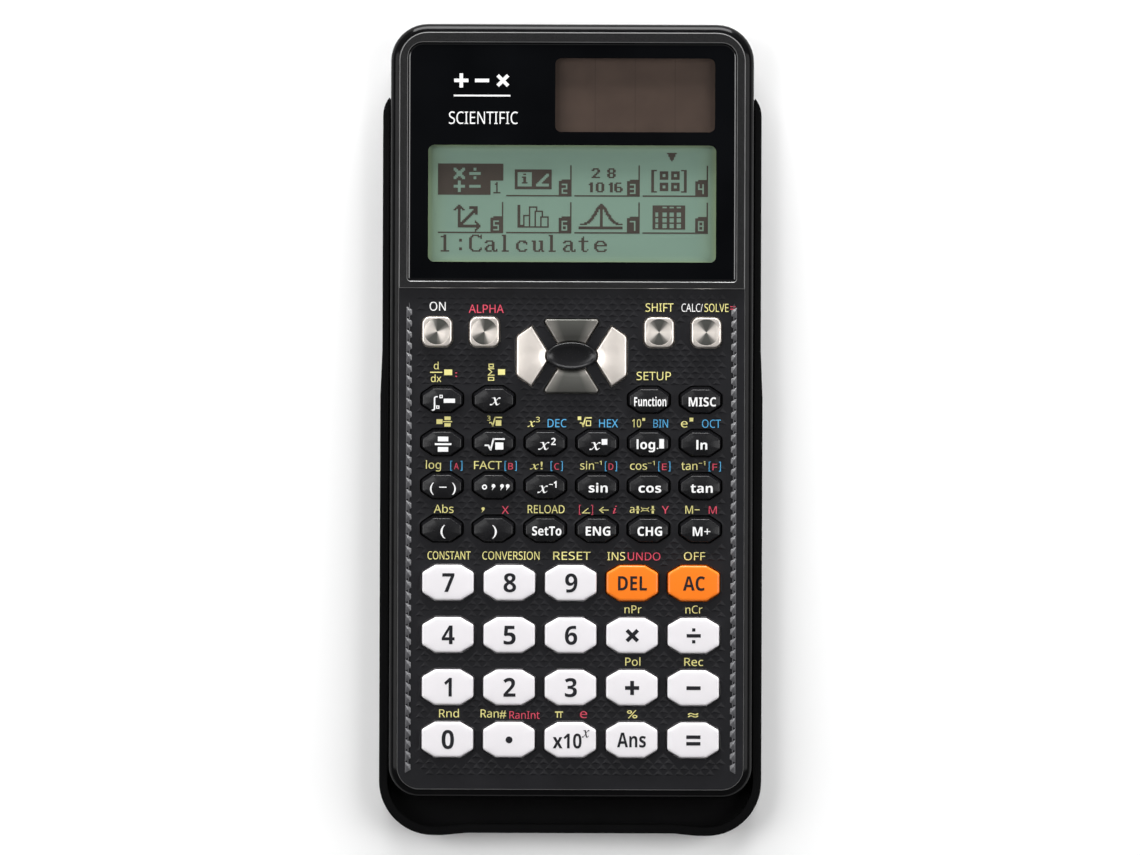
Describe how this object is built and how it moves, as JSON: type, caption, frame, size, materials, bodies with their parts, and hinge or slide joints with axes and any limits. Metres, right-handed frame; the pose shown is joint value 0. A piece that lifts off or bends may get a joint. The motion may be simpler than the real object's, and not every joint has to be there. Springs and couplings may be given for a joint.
{
  "type": "scientific calculator",
  "caption": "Pocket school calculator with a dot-matrix display, a solar cell, a direction pad and sprung keys, its slide-on hard cover stowed on the back.",
  "frame": {"origin": "centre of the whole object's footprint, on the surface that the stowed cover rests on", "axes": "+Z out of the keypad face, +Y towards the display end, +X to the right of a reader"},
  "size_m": [0.0812, 0.1722, 0.0139],
  "materials": {
    "face_plastic": "fine moulded texture",
    "window_plastic": "polished acrylic, printed black behind its edges",
    "lcd_glass": "polarised liquid crystal panel",
    "solar_glass": "amorphous cell on glass",
    "board": "solder mask",
    "key_rubber": "moulded silicone",
    "cell_steel": "plated can",
    "case_plastic": "satin moulded",
    "screw_steel": "blackened",
    "cover_plastic": "polished moulded",
    "key_metal": "turned, with a clear coat",
    "key_black": "polished",
    "key_orange": "satin moulded",
    "key_white": "satin moulded"
  },
  "bodies": {
    "housing": {"rear_case": "case_plastic", "front_case": "face_plastic", "display_window": "window_plastic", "lcd_panel": "lcd_glass", "solar_cell": "solar_glass", "circuit_board": "board", "key_mat": "key_rubber", "battery": "cell_steel", "case_screws": "screw_steel"},
    "cover": {"slide_cover": "cover_plastic"},
    "key_on": {"key_on": "key_metal"},
    "key_alpha": {"key_alpha": "key_metal"},
    "key_shift": {"key_shift": "key_metal"},
    "key_calc": {"key_calc": "key_metal"},
    "key_up": {"key_up": "key_metal"},
    "key_down": {"key_down": "key_metal"},
    "key_left": {"key_left": "key_metal"},
    "key_right": {"key_right": "key_metal"},
    "key_integral": {"key_integral": "key_black"},
    "key_variable_x": {"key_variable_x": "key_black"},
    "key_function": {"key_function": "key_black"},
    "key_misc": {"key_misc": "key_black"},
    "key_fraction": {"key_fraction": "key_black"},
    "key_square_root": {"key_square_root": "key_black"},
    "key_square": {"key_square": "key_black"},
    "key_power": {"key_power": "key_black"},
    "key_log_base": {"key_log_base": "key_black"},
    "key_natural_log": {"key_natural_log": "key_black"},
    "key_negative": {"key_negative": "key_black"},
    "key_degrees": {"key_degrees": "key_black"},
    "key_reciprocal": {"key_reciprocal": "key_black"},
    "key_sine": {"key_sine": "key_black"},
    "key_cosine": {"key_cosine": "key_black"},
    "key_tangent": {"key_tangent": "key_black"},
    "key_open_bracket": {"key_open_bracket": "key_black"},
    "key_close_bracket": {"key_close_bracket": "key_black"},
    "key_store": {"key_store": "key_black"},
    "key_engineering": {"key_engineering": "key_black"},
    "key_change": {"key_change": "key_black"},
    "key_memory_plus": {"key_memory_plus": "key_black"},
    "key_delete": {"key_delete": "key_orange"},
    "key_all_clear": {"key_all_clear": "key_orange"},
    "key_seven": {"key_seven": "key_white"},
    "key_eight": {"key_eight": "key_white"},
    "key_nine": {"key_nine": "key_white"},
    "key_four": {"key_four": "key_white"},
    "key_five": {"key_five": "key_white"},
    "key_six": {"key_six": "key_white"},
    "key_multiply": {"key_multiply": "key_white"},
    "key_divide": {"key_divide": "key_white"},
    "key_one": {"key_one": "key_white"},
    "key_two": {"key_two": "key_white"},
    "key_three": {"key_three": "key_white"},
    "key_plus": {"key_plus": "key_white"},
    "key_minus": {"key_minus": "key_white"},
    "key_zero": {"key_zero": "key_white"},
    "key_point": {"key_point": "key_white"},
    "key_exponent": {"key_exponent": "key_white"},
    "key_answer": {"key_answer": "key_white"},
    "key_equals": {"key_equals": "key_white"}
  },
  "joints": [
    {"name": "cover_slide", "type": "slide", "parent": "housing", "child": "cover", "axis": [0, -1, 0], "range_m": [0, 0.155]},
    {"name": "key_on_press", "type": "slide", "parent": "housing", "child": "key_on", "axis": [0, 0, -1], "range_m": [0, 0.0012], "stiffness_N_per_m": 600, "deforming": ["key_mat"]},
    {"name": "key_alpha_press", "type": "slide", "parent": "housing", "child": "key_alpha", "axis": [0, 0, -1], "range_m": [0, 0.0012], "stiffness_N_per_m": 600, "deforming": ["key_mat"]},
    {"name": "key_shift_press", "type": "slide", "parent": "housing", "child": "key_shift", "axis": [0, 0, -1], "range_m": [0, 0.0012], "stiffness_N_per_m": 600, "deforming": ["key_mat"]},
    {"name": "key_calc_press", "type": "slide", "parent": "housing", "child": "key_calc", "axis": [0, 0, -1], "range_m": [0, 0.0012], "stiffness_N_per_m": 600, "deforming": ["key_mat"]},
    {"name": "key_up_press", "type": "slide", "parent": "housing", "child": "key_up", "axis": [0, 0, -1], "range_m": [0, 0.0012], "stiffness_N_per_m": 600, "deforming": ["key_mat"]},
    {"name": "key_down_press", "type": "slide", "parent": "housing", "child": "key_down", "axis": [0, 0, -1], "range_m": [0, 0.0012], "stiffness_N_per_m": 600, "deforming": ["key_mat"]},
    {"name": "key_left_press", "type": "slide", "parent": "housing", "child": "key_left", "axis": [0, 0, -1], "range_m": [0, 0.0012], "stiffness_N_per_m": 600, "deforming": ["key_mat"]},
    {"name": "key_right_press", "type": "slide", "parent": "housing", "child": "key_right", "axis": [0, 0, -1], "range_m": [0, 0.0012], "stiffness_N_per_m": 600, "deforming": ["key_mat"]},
    {"name": "key_integral_press", "type": "slide", "parent": "housing", "child": "key_integral", "axis": [0, 0, -1], "range_m": [0, 0.0012], "stiffness_N_per_m": 600, "deforming": ["key_mat"]},
    {"name": "key_variable_x_press", "type": "slide", "parent": "housing", "child": "key_variable_x", "axis": [0, 0, -1], "range_m": [0, 0.0012], "stiffness_N_per_m": 600, "deforming": ["key_mat"]},
    {"name": "key_function_press", "type": "slide", "parent": "housing", "child": "key_function", "axis": [0, 0, -1], "range_m": [0, 0.0012], "stiffness_N_per_m": 600, "deforming": ["key_mat"]},
    {"name": "key_misc_press", "type": "slide", "parent": "housing", "child": "key_misc", "axis": [0, 0, -1], "range_m": [0, 0.0012], "stiffness_N_per_m": 600, "deforming": ["key_mat"]},
    {"name": "key_fraction_press", "type": "slide", "parent": "housing", "child": "key_fraction", "axis": [0, 0, -1], "range_m": [0, 0.0012], "stiffness_N_per_m": 600, "deforming": ["key_mat"]},
    {"name": "key_square_root_press", "type": "slide", "parent": "housing", "child": "key_square_root", "axis": [0, 0, -1], "range_m": [0, 0.0012], "stiffness_N_per_m": 600, "deforming": ["key_mat"]},
    {"name": "key_square_press", "type": "slide", "parent": "housing", "child": "key_square", "axis": [0, 0, -1], "range_m": [0, 0.0012], "stiffness_N_per_m": 600, "deforming": ["key_mat"]},
    {"name": "key_power_press", "type": "slide", "parent": "housing", "child": "key_power", "axis": [0, 0, -1], "range_m": [0, 0.0012], "stiffness_N_per_m": 600, "deforming": ["key_mat"]},
    {"name": "key_log_base_press", "type": "slide", "parent": "housing", "child": "key_log_base", "axis": [0, 0, -1], "range_m": [0, 0.0012], "stiffness_N_per_m": 600, "deforming": ["key_mat"]},
    {"name": "key_natural_log_press", "type": "slide", "parent": "housing", "child": "key_natural_log", "axis": [0, 0, -1], "range_m": [0, 0.0012], "stiffness_N_per_m": 600, "deforming": ["key_mat"]},
    {"name": "key_negative_press", "type": "slide", "parent": "housing", "child": "key_negative", "axis": [0, 0, -1], "range_m": [0, 0.0012], "stiffness_N_per_m": 600, "deforming": ["key_mat"]},
    {"name": "key_degrees_press", "type": "slide", "parent": "housing", "child": "key_degrees", "axis": [0, 0, -1], "range_m": [0, 0.0012], "stiffness_N_per_m": 600, "deforming": ["key_mat"]},
    {"name": "key_reciprocal_press", "type": "slide", "parent": "housing", "child": "key_reciprocal", "axis": [0, 0, -1], "range_m": [0, 0.0012], "stiffness_N_per_m": 600, "deforming": ["key_mat"]},
    {"name": "key_sine_press", "type": "slide", "parent": "housing", "child": "key_sine", "axis": [0, 0, -1], "range_m": [0, 0.0012], "stiffness_N_per_m": 600, "deforming": ["key_mat"]},
    {"name": "key_cosine_press", "type": "slide", "parent": "housing", "child": "key_cosine", "axis": [0, 0, -1], "range_m": [0, 0.0012], "stiffness_N_per_m": 600, "deforming": ["key_mat"]},
    {"name": "key_tangent_press", "type": "slide", "parent": "housing", "child": "key_tangent", "axis": [0, 0, -1], "range_m": [0, 0.0012], "stiffness_N_per_m": 600, "deforming": ["key_mat"]},
    {"name": "key_open_bracket_press", "type": "slide", "parent": "housing", "child": "key_open_bracket", "axis": [0, 0, -1], "range_m": [0, 0.0012], "stiffness_N_per_m": 600, "deforming": ["key_mat"]},
    {"name": "key_close_bracket_press", "type": "slide", "parent": "housing", "child": "key_close_bracket", "axis": [0, 0, -1], "range_m": [0, 0.0012], "stiffness_N_per_m": 600, "deforming": ["key_mat"]},
    {"name": "key_store_press", "type": "slide", "parent": "housing", "child": "key_store", "axis": [0, 0, -1], "range_m": [0, 0.0012], "stiffness_N_per_m": 600, "deforming": ["key_mat"]},
    {"name": "key_engineering_press", "type": "slide", "parent": "housing", "child": "key_engineering", "axis": [0, 0, -1], "range_m": [0, 0.0012], "stiffness_N_per_m": 600, "deforming": ["key_mat"]},
    {"name": "key_change_press", "type": "slide", "parent": "housing", "child": "key_change", "axis": [0, 0, -1], "range_m": [0, 0.0012], "stiffness_N_per_m": 600, "deforming": ["key_mat"]},
    {"name": "key_memory_plus_press", "type": "slide", "parent": "housing", "child": "key_memory_plus", "axis": [0, 0, -1], "range_m": [0, 0.0012], "stiffness_N_per_m": 600, "deforming": ["key_mat"]},
    {"name": "key_delete_press", "type": "slide", "parent": "housing", "child": "key_delete", "axis": [0, 0, -1], "range_m": [0, 0.0012], "stiffness_N_per_m": 600, "deforming": ["key_mat"]},
    {"name": "key_all_clear_press", "type": "slide", "parent": "housing", "child": "key_all_clear", "axis": [0, 0, -1], "range_m": [0, 0.0012], "stiffness_N_per_m": 600, "deforming": ["key_mat"]},
    {"name": "key_seven_press", "type": "slide", "parent": "housing", "child": "key_seven", "axis": [0, 0, -1], "range_m": [0, 0.0012], "stiffness_N_per_m": 600, "deforming": ["key_mat"]},
    {"name": "key_eight_press", "type": "slide", "parent": "housing", "child": "key_eight", "axis": [0, 0, -1], "range_m": [0, 0.0012], "stiffness_N_per_m": 600, "deforming": ["key_mat"]},
    {"name": "key_nine_press", "type": "slide", "parent": "housing", "child": "key_nine", "axis": [0, 0, -1], "range_m": [0, 0.0012], "stiffness_N_per_m": 600, "deforming": ["key_mat"]},
    {"name": "key_four_press", "type": "slide", "parent": "housing", "child": "key_four", "axis": [0, 0, -1], "range_m": [0, 0.0012], "stiffness_N_per_m": 600, "deforming": ["key_mat"]},
    {"name": "key_five_press", "type": "slide", "parent": "housing", "child": "key_five", "axis": [0, 0, -1], "range_m": [0, 0.0012], "stiffness_N_per_m": 600, "deforming": ["key_mat"]},
    {"name": "key_six_press", "type": "slide", "parent": "housing", "child": "key_six", "axis": [0, 0, -1], "range_m": [0, 0.0012], "stiffness_N_per_m": 600, "deforming": ["key_mat"]},
    {"name": "key_multiply_press", "type": "slide", "parent": "housing", "child": "key_multiply", "axis": [0, 0, -1], "range_m": [0, 0.0012], "stiffness_N_per_m": 600, "deforming": ["key_mat"]},
    {"name": "key_divide_press", "type": "slide", "parent": "housing", "child": "key_divide", "axis": [0, 0, -1], "range_m": [0, 0.0012], "stiffness_N_per_m": 600, "deforming": ["key_mat"]},
    {"name": "key_one_press", "type": "slide", "parent": "housing", "child": "key_one", "axis": [0, 0, -1], "range_m": [0, 0.0012], "stiffness_N_per_m": 600, "deforming": ["key_mat"]},
    {"name": "key_two_press", "type": "slide", "parent": "housing", "child": "key_two", "axis": [0, 0, -1], "range_m": [0, 0.0012], "stiffness_N_per_m": 600, "deforming": ["key_mat"]},
    {"name": "key_three_press", "type": "slide", "parent": "housing", "child": "key_three", "axis": [0, 0, -1], "range_m": [0, 0.0012], "stiffness_N_per_m": 600, "deforming": ["key_mat"]},
    {"name": "key_plus_press", "type": "slide", "parent": "housing", "child": "key_plus", "axis": [0, 0, -1], "range_m": [0, 0.0012], "stiffness_N_per_m": 600, "deforming": ["key_mat"]},
    {"name": "key_minus_press", "type": "slide", "parent": "housing", "child": "key_minus", "axis": [0, 0, -1], "range_m": [0, 0.0012], "stiffness_N_per_m": 600, "deforming": ["key_mat"]},
    {"name": "key_zero_press", "type": "slide", "parent": "housing", "child": "key_zero", "axis": [0, 0, -1], "range_m": [0, 0.0012], "stiffness_N_per_m": 600, "deforming": ["key_mat"]},
    {"name": "key_point_press", "type": "slide", "parent": "housing", "child": "key_point", "axis": [0, 0, -1], "range_m": [0, 0.0012], "stiffness_N_per_m": 600, "deforming": ["key_mat"]},
    {"name": "key_exponent_press", "type": "slide", "parent": "housing", "child": "key_exponent", "axis": [0, 0, -1], "range_m": [0, 0.0012], "stiffness_N_per_m": 600, "deforming": ["key_mat"]},
    {"name": "key_answer_press", "type": "slide", "parent": "housing", "child": "key_answer", "axis": [0, 0, -1], "range_m": [0, 0.0012], "stiffness_N_per_m": 600, "deforming": ["key_mat"]},
    {"name": "key_equals_press", "type": "slide", "parent": "housing", "child": "key_equals", "axis": [0, 0, -1], "range_m": [0, 0.0012], "stiffness_N_per_m": 600, "deforming": ["key_mat"]}
  ]
}
